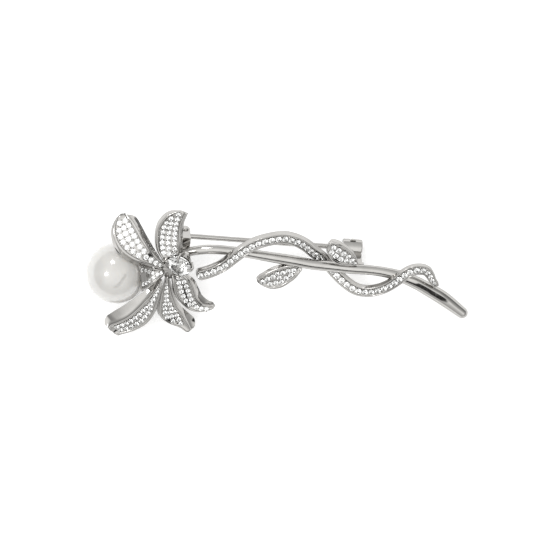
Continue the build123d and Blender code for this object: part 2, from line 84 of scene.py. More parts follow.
VINE_WIDTH = 1.8
VINE_END_WIDTH = 0.9
VINE_TAPER_START = 0.86   # along the vine, with its end at 1
VINE_DEPTH = 1.35
VINE_END_DEPTH = 0.95
VINE_THINS_FROM = 0.45
VINE_THINS_OVER = 0.25
VINE_RIM = 0.28
VINE_RIM_HEIGHT = 0.09
VINE_PITCH = 1.1
VINE_FIRST_STONE = 0.012
VINE_LAST_STONE = 0.99
TROUGH_OPENS = 60         # how fast the trough of the vine deepens from its start
TROUGH_CLOSES = 25        # and how fast it gets shallow towards its end

STONE_GAP = 0.05
STONE_SINK = 0.08         # the girdle of a stone lies this far below the rim
SMALLEST_STONE = 0.22     # radius
LAST_STONE = 0.86         # along a petal, with its tip at 1
EXTRA_STONE = 0.3         # a row takes one more stone when it lacks up to this share of a place
RIMS_ACROSS = 2.3         # the rims and their corners take up this many rim widths
BARE_END = 0.8            # along a petal, where a bare middle ends
STONES_BACK = 8           # a new row is tested against this many of the last stones
SEAT_BORE = 0.84          # shares of the stone's radius
SEAT_DEPTH = 0.92
SEAT_SHOULDER = 0.4
SEAT_FOOT = 0.5           # of the bore
SEAT_ABOVE = 0.3          # the cutter stands this far above the girdle

BEAD_RADIUS = 0.12
BEAD_OFFSET = 0.04        # from the girdle of the stone to the middle of the bead
BEAD_MERGE = 0.34         # two beads that are closer become one
BEAD_ROOT = 0.06          # below the floor
BEAD_TOP = 0.13
BEAD_PROFILE = [(-0.05, 1.05), (0.02, 1.0), (0.08, 0.75), (0.12, 0.4)]  # height, share of the radius

MARCH_STEPS = 240         # tries along a petal for the next row of stones
WELD = 0.0005             # points that are closer become one
PETAL_STEP = 0.02         # along a petal, for its direction
PATH_STEP = 0.005         # along the stem or the vine, for its direction
CLOSED = 0.02             # share of the section's area that is left where an end is closed
SOFT_EDGE = 0.07
FACE_NORMAL = Vector((0, -math.sin(LEAN), math.cos(LEAN)))

TINT_FROM, TINT_TO = 0.3, 0.7   # the part of the noise that is used
EDGE_TINT = (0.6, 0.6, 0.6, 1)
STONE_IOR = 2.15
FLOOR_SIZE = 1.5                # metres, from the middle
CARD_FACING = Vector((0.33, -0.55, 0.77)).normalized()
CARD_ACROSS = Vector((0.695, -0.413, -0.589)).normalized()
CARD_WIDTH = (0.07, 0.13)       # black up to the first, gone from the second
CARD_LENGTH = (0.80, 0.88)      # gone up to the first, black from the second
CARD_BLACK = 0.97               # the share of the light that the card takes
TENT_ENDS = (0.55, 0.85)        # the tent gets darker from the first to the second, along X
TENT_END_LIGHT = 0.4
TENT_POWER = 0.88
TENT_BLUE = 0.99                # its blue, as a share of its red and green
CAMERA_DISTANCE = 0.6           # metres
FRAME_WIDTH = 86.9
FRAME_MIDDLE = Vector((-1.60, 1.14, 0))  # the middle of the picture

pearl_low, pearl_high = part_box("pearl")
ORIGIN = (Vector(pearl_low) + Vector(pearl_high)) / 2 - PEARL_CENTRE * MM


def place(x, y, lift):
    """Point seen at x, y from above, lifted off the face plane."""
    return Vector((x, y, y * math.tan(LEAN) + lift / math.cos(LEAN)))


def blend(values, t):
    """Catmull-Rom value at t, from 0 at the first of the values to 1 at the last."""
    last = len(values) - 1
    along = min(max(t, 0.0), 1.0) * last
    i = min(int(along), last - 1)
    f = along - i
    b, c = values[i], values[i + 1]
    a = values[i - 1] if i > 0 else b * 2 - c
    d = values[i + 2] if i + 2 <= last else c * 2 - b
    return (b * 2 + (c - a) * f + (a * 2 - b * 5 + c * 4 - d) * f**2
            + (b * 3 - a - c * 3 + d) * f**3) * 0.5


def end_fade(t, end):
    """Share of its width that the section keeps at t, so that both ends are rounded off."""
    close = min(t, 1 - t) / end
    return math.sqrt(max(CLOSED, 1 - (1 - close) ** 2)) if close < 1 else 1


# ---------------------------------------------------------------- mesh helpers

class Shell:
    """Collects the vertices and faces of one piece, in millimetres."""

    def __init__(self):
        self.points = []
        self.faces = []

    def add(self, points, faces):
        start = len(self.points)
        self.points += points
        self.faces += [tuple(start + i for i in face) for face in faces]

    def skin(self, rings, cap=True):
        """Tube through rings of equal count."""
        count = len(rings[0])
        faces = []
        for i in range(len(rings) - 1):
            for j in range(count):
                k = (j + 1) % count
                faces.append((i * count + j, i * count + k, (i + 1) * count + k, (i + 1) * count + j))
        if cap:
            faces.append(tuple(range(count)))
            faces.append(tuple((len(rings) - 1) * count + j for j in range(count)))
        self.add([point for ring in rings for point in ring], faces)

    def lathe(self, profile, origin, axis, segments=64):
        """Solid of revolution. The profile holds (distance along the axis, radius)."""
        side, other = sides(axis)
        rings = []
        for along, radius in profile:
            ring = []
            for j in range(segments):
                angle = 2 * math.pi * j / segments
                spoke = side * math.cos(angle) + other * math.sin(angle)
                ring.append(origin + axis * along + spoke * radius)
            rings.append(ring)
        self.skin(rings, cap=False)

    def mesh_object(self, name):
        """The shell as an object, in metres and in its place in the frame."""
        mesh = bpy.data.meshes.new(name)
        mesh.from_pydata([ORIGIN + point * MM for point in self.points], [], self.faces)
        work = bmesh.new()
        work.from_mesh(mesh)
        bmesh.ops.remove_doubles(work, verts=work.verts, dist=WELD * MM)
        bmesh.ops.recalc_face_normals(work, faces=work.faces)
        work.to_mesh(mesh)
        work.free()
        made = bpy.data.objects.new(name, mesh)
        bpy.context.scene.collection.objects.link(made)
        return made

    def finish(self, name, material, slot, replaces, sharp=40, body="brooch", holes=None):
        """Turns the shell into a piece of the brooch, less the holes if there are any."""
        piece = self.mesh_object(name + "_finished")
        if holes:
            drill(piece, holes)
        piece.data.materials.clear()
        piece.data.materials.append(material)
        piece.data.shade_smooth()
        piece.data.set_sharp_from_angle(angle=math.radians(sharp))
        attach(piece, body)
        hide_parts(*replaces)
        return piece


def drill(piece, holes):
    """Cuts the holes, which are closed shells, out of the piece's mesh."""
    cutter = holes.mesh_object("cutter")
    cut = piece.modifiers.new("holes", "BOOLEAN")
    cut.operation = "DIFFERENCE"
    cut.solver = "EXACT"
    cut.object = cutter
    bpy.context.view_layer.update()
    graph = bpy.context.evaluated_depsgraph_get()
    drilled = bpy.data.meshes.new_from_object(piece.evaluated_get(graph))
    piece.modifiers.clear()
    piece.data = drilled
    bpy.data.objects.remove(cutter)


def sides(axis):
    """Two directions at right angles to the axis and to each other."""
    helper = Vector((0, 0, 1)) if abs(axis.z) < 0.9 else Vector((1, 0, 0))
    side = helper.cross(axis).normalized()
    return side, axis.cross(side).normalized()


def arc(centre, radius_x, radius_y, first, last, count):
    """Points of an elliptic arc, with angles in degrees."""
    points = []
    for i in range(count):
        angle = math.radians(first + (last - first) * i / (count - 1))
        points.append((centre[0] + radius_x * math.cos(angle), centre[1] + radius_y * math.sin(angle)))
    return points


# ---------------------------------------------------------------- materials

def new_material(name):
    material = bpy.data.materials.new(name)
    material.use_nodes = True
    return material, material.node_tree, material.node_tree.nodes["Principled BSDF"]


def noise(tree, scale, detail=2.0, stretch=(1, 1, 1)):
    """Noise over the object's own coordinates. The scale is in blobs per metre."""
    coordinates = tree.nodes.new("ShaderNodeTexCoord")
    mapping = tree.nodes.new("ShaderNodeMapping")
    mapping.inputs["Scale"].default_value = stretch
    texture = tree.nodes.new("ShaderNodeTexNoise")
    texture.inputs["Scale"].default_value = scale
    texture.inputs["Detail"].default_value = detail
    tree.links.new(coordinates.outputs["Object"], mapping.inputs["Vector"])
    tree.links.new(mapping.outputs["Vector"], texture.inputs["Vector"])
    return texture.outputs["Fac"]


def tint(tree, factor, low, high, socket):
    """Colours the socket from low to high as the factor goes over the used part of the noise."""
    ramp = tree.nodes.new("ShaderNodeValToRGB")
    ramp.color_ramp.elements[0].position = TINT_FROM
    ramp.color_ramp.elements[1].position = TINT_TO
    ramp.color_ramp.elements[0].color = (*low, 1)
    ramp.color_ramp.elements[1].color = (*high, 1)
    tree.links.new(factor, ramp.inputs["Fac"])
    tree.links.new(ramp.outputs["Color"], socket)


def spread(tree, factor, low, high, socket):
    """Sets the socket from low to high as the factor goes over the used part of the noise."""
    span = tree.nodes.new("ShaderNodeMapRange")
    span.inputs["From Min"].default_value = TINT_FROM
    span.inputs["From Max"].default_value = TINT_TO
    span.inputs["To Min"].default_value = low
    span.inputs["To Max"].default_value = high
    tree.links.new(factor, span.inputs["Value"])
    tree.links.new(span.outputs["Result"], socket)


def relief(tree, height, depth, shader):
    """Bumps of the given depth, in metres."""
    bump = tree.nodes.new("ShaderNodeBump")
    bump.inputs["Strength"].default_value = 1.0
    bump.inputs["Distance"].default_value = depth
    tree.links.new(height, bump.inputs["Height"])
    tree.links.new(bump.outputs["Normal"], shader.inputs["Normal"])


def make_plated_metal():
    """Rhodium plating: bright, a little warm, with faint ripples from hand polishing."""
    material, tree, shader = new_material("plated_metal")
    shader.inputs["Metallic"].default_value = 1.0
    shader.inputs["Specular Tint"].default_value = EDGE_TINT
    tint(tree, noise(tree, 420, 3), (0.46, 0.45, 0.435), (0.52, 0.51, 0.495), shader.inputs["Base Color"])
    spread(tree, noise(tree, 2600, 4), 0.05, 0.13, shader.inputs["Roughness"])
    relief(tree, noise(tree, 700, 2), 0.000012, shader)
    return material


def make_pin_steel():
    """Drawn and polished steel wire, with fine lines along it."""
    material, tree, shader = new_material("pin_steel")
    shader.inputs["Metallic"].default_value = 1.0
    shader.inputs["Specular Tint"].default_value = EDGE_TINT
    tint(tree, noise(tree, 300, 2), (0.47, 0.46, 0.445), (0.53, 0.52, 0.505), shader.inputs["Base Color"])
    spread(tree, noise(tree, 900, 3, (1, 12, 12)), 0.12, 0.24, shader.inputs["Roughness"])
    relief(tree, noise(tree, 700, 2, (0.6, 10, 10)), 0.000002, shader)
    return material


def make_stone_material(name):
    """Clear cut stone with polishing haze that varies from facet to facet."""
    material, tree, shader = new_material(name)
    shader.inputs["Transmission Weight"].default_value = 1.0
    shader.inputs["IOR"].default_value = STONE_IOR
    tint(tree, noise(tree, 500, 1), (0.93, 0.93, 0.92), (1.0, 1.0, 1.0), shader.inputs["Base Color"])
    spread(tree, noise(tree, 1500, 2), 0.0, 0.03, shader.inputs["Roughness"])
    return material


def make_pearl_material():
    """Nacre: a creamy body under a clear coat, with slow drifts of tone and a fine grain."""
    material, tree, shader = new_material("pearl")
    tint(tree, noise(tree, 90, 3), (0.55, 0.535, 0.51), (0.61, 0.60, 0.58), shader.inputs["Base Color"])
    spread(tree, noise(tree, 1800, 3), 0.28, 0.38, shader.inputs["Roughness"])
    shader.inputs["IOR"].default_value = 1.6
    shader.inputs["Coat Weight"].default_value = 1.0
    shader.inputs["Coat Roughness"].default_value = 0.05
    shader.inputs["Coat IOR"].default_value = 1.9
    shader.inputs["Subsurface Weight"].default_value = 0.25
    shader.inputs["Subsurface Radius"].default_value = (0.0012, 0.0010, 0.0008)
    relief(tree, noise(tree, 2400, 2), 0.0000015, shader)
    return material


PLATED = make_plated_metal()
STEEL = make_pin_steel()
SMALL_GLASS = make_stone_material("small_stones")
CENTRE_GLASS = make_stone_material("centre_stone")
NACRE = make_pearl_material()


# ---------------------------------------------------------------- cut stones and their grains

def add_brilliant(shell, centre, axis, along, radius):
    """Round brilliant: table, 8 stars, 8 kites, 16 upper and 16 lower girdle facets, 8 mains."""
    other = axis.cross(along).normalized()
    side = other.cross(axis).normalized()

    def ring(share, height, count, shift):
        points = []
        for k in range(count):
            angle = 2 * math.pi * (k + shift) / count
            spoke = side * math.cos(angle) + other * math.sin(angle)
            points.append(centre + spoke * (share * radius) + axis * (height * radius))
        return points

    table = ring(0.56, 0.32, 8, 0)
    star = ring(0.78, 0.222, 8, 0.5)
    upper = ring(1.0, 0.05, 16, 0)
    lower = ring(1.0, -0.05, 16, 0)
    knee = ring(0.25, -0.673, 8, 0.5)
    culet = [centre - axis * (0.86 * radius)]
    points = table + star + upper + lower + knee + culet
    stars, uppers, lowers, knees, point = 8, 16, 32, 48, 56
    faces = [tuple(range(8))]
    for k in range(8):
        after, before = (k + 1) % 8, (k - 1) % 8
        here, half, there = 2 * k, 2 * k + 1, (2 * k + 2) % 16
        faces.append((k, stars + k, after))
        faces.append((k, stars + before, uppers + here, stars + k))
        faces.append((stars + k, uppers + here, uppers + half))
        faces.append((stars + k, uppers + half, uppers + there))
        faces.append((uppers + here, lowers + here, lowers + half, uppers + half))
        faces.append((uppers + half, lowers + half, lowers + there, uppers + there))
        faces.append((knees + k, lowers + half, lowers + here))
        faces.append((knees + k, lowers + there, lowers + half))
        faces.append((point, knees + k, lowers + here, knees + before))
    shell.add(points, faces)


def bead_spots(seats):
    """Places for the grains of metal that hold the stones: between neighbours and by the rim."""
    spots = []
    for centre, axis, along, radius in seats:
        other = axis.cross(along)
        for k in range(4):
            angle = math.radians(45 + 90 * k)
            spoke = along * math.cos(angle) + other * math.sin(angle)
            spot = centre + spoke * (radius + BEAD_OFFSET)
            near = next((old for old in spots if (old[0] - spot).length < BEAD_MERGE), None)
            if near is None:
                spots.append([spot, axis])
            else:
                near[0] = (near[0] + spot) / 2
    clear = []
    for spot, axis in spots:
        if all((spot - centre).length > radius - BEAD_OFFSET for centre, _, _, radius in seats):
            clear.append((spot, axis))
    return clear


def add_bead(shell, spot, axis):
    """Grain of metal with a round head, rooted in the floor."""
    foot = -FLOOR_DEPTH - BEAD_ROOT
    profile = [(foot, 0), (foot, BEAD_RADIUS * 1.2)]
    profile += [(height, BEAD_RADIUS * share) for height, share in BEAD_PROFILE]
    profile.append((BEAD_TOP, 0))
    shell.lathe(profile, spot, axis, segments=10)


def stone_holes(seats):
    """Drilled seats, a little narrower than the stones that rest on their edges."""
    holes = Shell()
    for centre, axis, _, radius in seats:
        deep = -SEAT_DEPTH * radius
        bore = SEAT_BORE * radius
        profile = [(deep, 0), (deep, bore * SEAT_FOOT), (-SEAT_SHOULDER * radius, bore), (SEAT_ABOVE, bore),
                   (SEAT_ABOVE, 0)]
        holes.lathe(profile, centre, axis, segments=20)
    return holes


def set_stones(name, seats):
    """Cut stones as one piece, and the grains of metal between them as another."""
    stones = Shell()
    for centre, axis, along, radius in seats:
        add_brilliant(stones, centre, axis, along, radius)
    stones.finish(name, SMALL_GLASS, "small_stones", [name], sharp=1)
    grains = Shell()
    for spot, axis in bead_spots(seats):
        add_bead(grains, spot, axis)
    grains.finish(name.replace("_stones", "_grains"), PLATED, "plated_metal", [])


# ---------------------------------------------------------------- petals and leaves

class Petal:
    """Cup of metal with a raised rim and a sunken floor for stones.

    Each station holds the left and the right edge of the rim, as (x, y, height), and how far
    the outer wall flares on each side. Heights are above the middle of the stem.
    """

    def __init__(self, stations, pitch, depth=1.1, first_stone=0.07, bare_middle=False):
        self.left = [Vector(s[0]) for s in stations]
        self.right = [Vector(s[1]) for s in stations]
        self.flare_left = [s[2] for s in stations]
        self.flare_right = [s[3] for s in stations]
        self.pitch = pitch
        self.depth = depth
        self.first_stone = first_stone
        self.bare_middle = bare_middle

    def frame(self, t):
        """Left and right edge at t, the direction across, and the direction that the floor faces."""
        left, right = blend(self.left, t), blend(self.right, t)
        before = blend(self.left, t - PETAL_STEP) + blend(self.right, t - PETAL_STEP)
        after = blend(self.left, t + PETAL_STEP) + blend(self.right, t + PETAL_STEP)
        across = (right - left).normalized()
        normal = across.cross(after - before).normalized()
        if normal.z < 0:
            normal = normal * -1
        return left, right, across, normal

    def rim_at(self, width):
        """The rim gets thinner where the petal is narrow."""
        return min(RIM_WIDTH, RIM_SHARE * width)

    def side(self, flare, depth, rim):
        """Half of the section, from the back to the floor: (distance from the edge, height)."""
        bend = 0.14
        points = arc((-flare + bend, -depth + bend), bend, bend, 270, 180, 4)
        for i in range(1, 6):
            s = i / 6
            points.append((-flare * (1 - s) ** 1.5, -depth + bend + s * (depth - bend - RIM_HEIGHT)))
        points += arc((rim / 2, -RIM_HEIGHT), rim / 2, RIM_HEIGHT, 180, 0, 8)
        points += [(rim * 1.06, -FLOOR_DEPTH * FLOOR_CORNER), (rim * 1.1 + CORNER_WIDTH, -FLOOR_DEPTH)]
        return points

    def ring(self, t, fade):
        """Section at t, drawn in towards its middle by fade. The cup is shallower at its tip."""
        left, right, across, normal = self.frame(t)
        width = (right - left).length
        rim = self.rim_at(width)
        depth = self.depth * min(1.0, TIP_DEPTH + TIP_SLOPE * (1 - t))
        middle = (left + right) / 2 - normal * (depth / 2)
        ring = []
        for u, v in self.side(blend(self.flare_left, t), depth, rim):
            ring.append(left + across * u + normal * v)
        for u, v in reversed(self.side(blend(self.flare_right, t), depth, rim)):
            ring.append(right - across * u + normal * v)
        return [middle + (point - middle) * fade for point in ring]

    def shell(self, count=110, end=0.035):
        """The whole cup, with both ends rounded off within the last stretch."""
        shell = Shell()
        rings = []
        for i in range(count):
            t = 0.5 - 0.5 * math.cos(math.pi * i / (count - 1))
            rings.append(self.ring(t, end_fade(t, end)))
        shell.skin(rings)
        return shell

    def seats(self):
        """Centres, axes, directions and radii of the stones, row after row."""
        found = []
        for i in range(MARCH_STEPS):
            t = self.first_stone + (LAST_STONE - self.first_stone) * i / MARCH_STEPS
            left, right, across, normal = self.frame(t)
            width = (right - left).length
            floor = width - RIMS_ACROSS * self.rim_at(width)
            count = max(1, int(floor / self.pitch + EXTRA_STONE))
            radius = min(self.pitch, floor / count) / 2 - STONE_GAP / 2
            if radius < SMALLEST_STONE:
                continue
            middle = (left + right) * 0.5 - normal * STONE_SINK
            columns = range(count)
            if self.bare_middle and t < BARE_END:
                columns = sorted({0, count - 1})
            row = [middle + across * (((k + 0.5) / count - 0.5) * floor) for k in columns]
            if all((new - seat[0]).length > radius + seat[3] + STONE_GAP
                   for new in row for seat in found[-STONES_BACK:]):
                found += [(centre, normal, across, radius) for centre in row]
        return found


PETALS = {
    "petal_upper_left": Petal([
        ((-18.2, 0.6, 3.1), (-18.0, 1.4, 3.1), 0.1, 0.1),
        ((-20.2, 1.1, 4.0), (-19.0, 2.4, 3.8), 0.5, 0.4),
        ((-22.5, 1.9, 4.8), (-20.2, 3.8, 4.6), 0.7, 0.6),
        ((-24.8, 3.4, 5.3), (-21.4, 5.5, 5.2), 0.7, 0.7),
        ((-26.1, 5.3, 5.5), (-22.4, 7.3, 5.6), 0.5, 0.7),
        ((-26.4, 7.3, 5.6), (-23.3, 8.8, 5.7), 0.4, 0.7),
        ((-25.9, 9.0, 5.5), (-24.1, 9.6, 5.5), 0.3, 0.5),
        ((-25.0, 9.8, 5.2), (-24.6, 9.9, 5.2), 0.2, 0.3)], pitch=0.98),
    "petal_upper_right": Petal([
        ((-18.3, 1.9, 2.4), (-17.3, 1.9, 2.4), 0.1, 0.1),
        ((-19.3, 3.5, 2.6), (-15.6, 3.0, 2.7), 0.2, 0.1),
        ((-19.6, 5.1, 3.1), (-15.5, 4.7, 3.3), 0.2, 0.2),
        ((-19.4, 6.9, 3.8), (-15.4, 6.4, 4.0), 0.3, 0.2),
        ((-18.7, 8.3, 4.6), (-15.2, 7.9, 4.7), 0.4, 0.2),
        ((-17.6, 9.4, 5.2), (-14.8, 8.9, 5.3), 0.4, 0.2),
        ((-16.3, 9.9, 5.6), (-14.6, 9.5, 5.7), 0.3, 0.2),
        ((-15.3, 10.1, 5.8), (-14.8, 9.9, 5.8), 0.2, 0.2)], pitch=0.86, depth=0.95,
        first_stone=0.14),
    "petal_left": Petal([
        ((-18.4, 0.6, 2.3), (-18.4, -0.2, 2.3), 0.1, 0.1),
        ((-19.4, 0.8, 2.2), (-19.3, -1.1, 2.1), 0.2, 0.2),
        ((-20.4, 1.1, 2.4), (-20.1, -1.8, 2.2), 0.2, 0.2),
        ((-21.2, 1.4, 3.0), (-20.9, -2.4, 2.7), 0.2, 0.2),
        ((-21.9, 1.5, 3.5), (-21.5, -2.7, 3.2), 0.2, 0.2),
        ((-22.2, 1.3, 3.7), (-21.8, -2.6, 3.5), 0.1, 0.1)], pitch=0.72, depth=0.65,
        bare_middle=True),
    "petal_lower_left": Petal([
        ((-18.8, -1.0, 2.3), (-18.4, -1.2, 2.2), 0.2, 0.1),
        ((-19.7, -2.7, 2.0), (-18.8, -2.9, 1.6), 0.6, 0.2),
        ((-21.1, -4.3, 1.3), (-19.3, -4.9, 0.6), 1.1, 0.3),
        ((-22.5, -5.7, 0.5), (-19.9, -6.7, -0.5), 1.6, 0.3),
        ((-24.2, -7.1, -0.4), (-21.3, -8.4, -1.5), 1.9, 0.3),
        ((-25.8, -7.9, -1.2), (-23.4, -9.5, -2.4), 1.6, 0.3),
        ((-27.1, -8.4, -1.9), (-25.1, -10.0, -2.9), 1.2, 0.2),
        ((-27.6, -9.1, -2.2), (-26.1, -10.3, -3.1), 0.6, 0.2)], pitch=0.92),
    "petal_lower_middle": Petal([
        ((-17.9, -0.6, 2.3), (-17.6, -0.6, 2.3), 0.1, 0.1),
        ((-18.4, -2.2, 1.4), (-17.3, -2.2, 1.4), 0.1, 0.2),
        ((-18.9, -3.8, 0.4), (-16.9, -3.8, 0.4), 0.2, 0.2),
        ((-19.2, -5.5, -0.7), (-16.2, -5.5, -0.7), 0.3, 0.3),
        ((-19.0, -7.1, -1.7), (-15.4, -6.5, -1.5), 0.3, 0.5),
        ((-17.7, -8.2, -2.4), (-14.9, -7.4, -2.0), 0.3, 0.9),
        ((-15.9, -8.9, -2.8), (-14.4, -8.3, -2.5), 0.3, 1.1),
        ((-14.5, -9.8, -3.1), (-13.9, -9.4, -3.0), 0.2, 0.7)], pitch=0.82),
    "petal_lower_right": Petal([
        ((-17.1, -0.2, 2.4), (-15.5, 0.1, 2.5), 0.1, 0.2),
        ((-16.8, -1.7, 1.9), (-14.0, -1.2, 2.0), 0.2, 0.5),
        ((-16.5, -3.2, 1.1), (-13.3, -2.7, 1.2), 0.3, 0.6),
        ((-15.8, -4.6, 0.4), (-12.9, -4.0, 0.5), 0.3, 0.8),
        ((-14.5, -5.8, -0.2), (-12.1, -5.0, 0.0), 0.2, 1.0),
        ((-13.1, -6.3, -0.4), (-11.2, -5.3, -0.2), 0.2, 0.9),
        ((-11.4, -6.2, -0.4), (-10.5, -5.4, -0.3), 0.2, 0.5),
        ((-10.3, -5.8, -0.4), (-10.0, -5.5, -0.4), 0.2, 0.2)], pitch=0.84),
    "leaf_lower": Petal([
        ((4.4, 0.8, 1.2), (3.3, 1.5, 1.6), 0.1, 0.1),
        ((3.3, -0.7, 0.5), (1.9, 1.2, 1.75), 0.1, 0.1),
        ((2.2, -1.6, -0.1), (0.6, 0.9, 1.6), 0.1, 0.1),
        ((0.8, -2.4, -0.6), (-0.7, 0.5, 1.2), 0.1, 0.1),
        ((-0.9, -2.6, -0.8), (-2.0, -0.2, 0.7), 0.1, 0.1),
        ((-2.4, -2.0, -0.6), (-2.9, -0.7, 0.2), 0.1, 0.1),
        ((-3.2, -1.3, -0.2), (-3.3, -1.0, 0.0), 0.1, 0.1)], pitch=0.95, depth=1.0,
        first_stone=0.13),
    "leaf_upper": Petal([
        ((13.4, 1.5, 1.7), (12.9, 1.15, 1.5), 0.1, 0.1),
        ((12.7, 2.9, 2.9), (11.7, 1.2, 1.9), 0.1, 0.1),
        ((11.5, 4.0, 3.7), (10.1, 1.4, 2.2), 0.1, 0.1),
        ((10.2, 4.75, 4.3), (8.95, 2.1, 2.6), 0.1, 0.1),
        ((9.0, 5.1, 4.4), (8.3, 3.1, 3.2), 0.1, 0.1),
        ((8.3, 4.7, 4.1), (8.05, 3.8, 3.6), 0.1, 0.1)], pitch=0.98, depth=1.0),
}


def make_petals():
    """Petals and leaves, each with its stones, its grains and its drilled seats."""
    for name, petal in PETALS.items():
        seats = petal.seats()
        set_stones(name + "_stones", seats)
        petal.shell().finish(name, PLATED, "plated_metal", [name], holes=stone_holes(seats))


# ---------------------------------------------------------------- stem and vine

STEM = [  # x, y, lift, radius
    (-16.8, 2.8, -0.8, 0.62), (-13.2, 3.7, -0.2, 0.74), (-10.0, 3.9, 0.0, 0.77), (-5.9, 3.5, 0.0, 0.78),
    (-2.6, 2.95, 0.0, 0.81), (2.3, 2.15, 0.0, 0.88), (5.5, 1.55, 0.0, 0.88), (8.8, 1.15, 0.0, 0.85),
    (12.0, 0.8, 0.0, 0.82), (15.3, 0.55, 0.0, 0.81), (17.7, 0.2, 0.0, 0.85), (20.2, -0.45, 0.0, 0.95),
    (22.6, -1.4, 0.0, 1.07), (25.1, -2.75, 0.0, 1.14), (27.5, -4.2, 0.1, 1.15), (30.5, -6.45, 0.3, 0.92)]
VINE = [  # x, y, lift of the middle of the front face
    (-13.0, -0.6, 2.3), (-10.8, 0.0, 2.2), (-8.8, 0.9, 2.1), (-7.0, 2.2, 2.1), (-5.4, 3.4, 2.1),
    (-3.4, 4.5, 1.9), (-1.3, 5.15, 1.5), (1.1, 5.5, 1.1), (3.1, 5.1, 0.7), (4.7, 4.3, 0.2),
    (6.0, 3.3, -0.5), (7.2, 2.4, -1.1), (8.5, 1.2, -1.1), (9.7, -0.2, -0.5), (11.3, -1.7, 0.0),
    (13.0, -2.8, 0.4), (14.8, -3.15, 0.8), (16.6, -2.9, 1.2), (18.2, -2.25, 1.5), (19.6, -1.35, 1.8),
    (20.9, -0.35, 1.9), (22.1, 0.3, 1.9), (23.3, 0.45, 1.7), (24.4, 0.2, 1.4), (25.1, -0.6, 1.2),
    (25.6, -1.5, 1.1), (26.3, -2.3, 1.0)]


def path_frame(path, t):
    """Point at t, the direction along the path, and the directions sideways and to the front."""
    centre = blend(path, t)
    along = (blend(path, min(t + PATH_STEP, 1)) - blend(path, max(t - PATH_STEP, 0))).normalized()
    side = FACE_NORMAL.cross(along).normalized()
    return centre, along, side, along.cross(side).normalized()


def make_stem(count=170, segments=40, cap_step=8):
    """Tapered rod. Rings at every cap_step degrees round its free end off beyond its last point."""
    path = [place(*point[:3]) for point in STEM]
    radii = [point[3] for point in STEM]
    rings = []

    def ring(centre, side, front, radius):
        points = []
        for j in range(segments):
            angle = 2 * math.pi * j / segments
            points.append(centre + (side * math.cos(angle) + front * math.sin(angle)) * radius)
        rings.append(points)

    for i in range(count):
        t = i / (count - 1)
        centre, along, side, front = path_frame(path, t)
        ring(centre, side, front, blend(radii, t))
    for out in range(cap_step, 90 - cap_step // 2, cap_step):
        angle = math.radians(out)
        ring(centre + along * (radii[-1] * math.sin(angle)), side, front, radii[-1] * math.cos(angle))
    shell = Shell()
    shell.skin(rings)
    shell.finish("stem", PLATED, "plated_metal", ["stem"])


def vine_width(t):
    """The vine narrows over its last stretch."""
    taper = max(0.0, (t - VINE_TAPER_START) / (1 - VINE_TAPER_START))
    return VINE_WIDTH + (VINE_END_WIDTH - VINE_WIDTH) * taper


def vine_depth(t):
    """The vine gets flatter round its middle."""
    taper = min(max(0.0, (t - VINE_THINS_FROM) / VINE_THINS_OVER), 1.0)
    return VINE_DEPTH + (VINE_END_DEPTH - VINE_DEPTH) * taper


def vine_section(width, depth, floor):
    """Channel with a raised rim on both sides: (sideways, forwards) from the middle of the front."""
    half = width / 2
    bend = 0.16
    section = arc((half - bend, -depth + bend), bend, bend, 270, 360, 4)
    section += [(half, -depth * 0.6), (half, -depth * 0.3)]
    section += arc((half - VINE_RIM / 2, -VINE_RIM_HEIGHT), VINE_RIM / 2, VINE_RIM_HEIGHT, 0, 180, 7)
    section += [(half - VINE_RIM * 1.05, -floor * FLOOR_CORNER),
                (half - VINE_RIM * 1.1 - CORNER_WIDTH, -floor)]
    return section + [(-u, v) for u, v in reversed(section)]


def make_vine(count=420, end=0.012):
    """Winding channel with one row of stones. Its trough runs out at both ends."""
    path = [place(*point) for point in VINE]
    rings = []
    for i in range(count):
        t = i / (count - 1)
        centre, along, side, front = path_frame(path, t)
        fade = end_fade(t, end)
        middle = centre - front * (vine_depth(t) / 2)
        floor = FLOOR_DEPTH * min(1.0, TROUGH_OPENS * t, TROUGH_CLOSES * (1 - t))
        section = vine_section(vine_width(t), vine_depth(t), floor)
        ring = [centre + side * u + front * v for u, v in section]
        rings.append([middle + (point - middle) * fade for point in ring])
    metal = Shell()
    metal.skin(rings)

    seats = []
    steps = MARCH_STEPS * 8
    for i in range(steps):
        t = VINE_FIRST_STONE + (VINE_LAST_STONE - VINE_FIRST_STONE) * i / steps
        centre, along, side, front = path_frame(path, t)
        seat = centre - front * STONE_SINK
        radius = (VINE_PITCH * vine_width(t) / VINE_WIDTH - STONE_GAP) / 2
        if not seats or (seat - seats[-1][0]).length > radius + seats[-1][3] + STONE_GAP:
            seats.append((seat, front, along, radius))
    set_stones("vine_stones", seats)
    metal.finish("vine", PLATED, "plated_metal", ["vine"], holes=stone_holes(seats))


# ---------------------------------------------------------------- pearl and centre of the flower

def make_pearl():
    """Ball with a drilled hole whose edge is a little rounded."""
    edge = math.degrees(math.asin(PEG_RADIUS / PEARL_RADIUS)) * HOLE_EDGE
    profile = [(PEARL_RADIUS - PEG_DEPTH, 0), (PEARL_RADIUS - PEG_DEPTH, PEG_RADIUS),
               (PEARL_RADIUS * HOLE_SHOULDER, PEG_RADIUS)]
    steps = 72
    for i in range(steps + 1):
        angle = math.radians(edge + (180 - edge) * i / steps)
        profile.append((PEARL_RADIUS * math.cos(angle), PEARL_RADIUS * math.sin(angle)))
    shell = Shell()
    shell.lathe(profile, PEARL_CENTRE, Vector((1, 0, 0)), segments=128)
    shell.finish("pearl", NACRE, "pearl", ["pearl"], sharp=60)


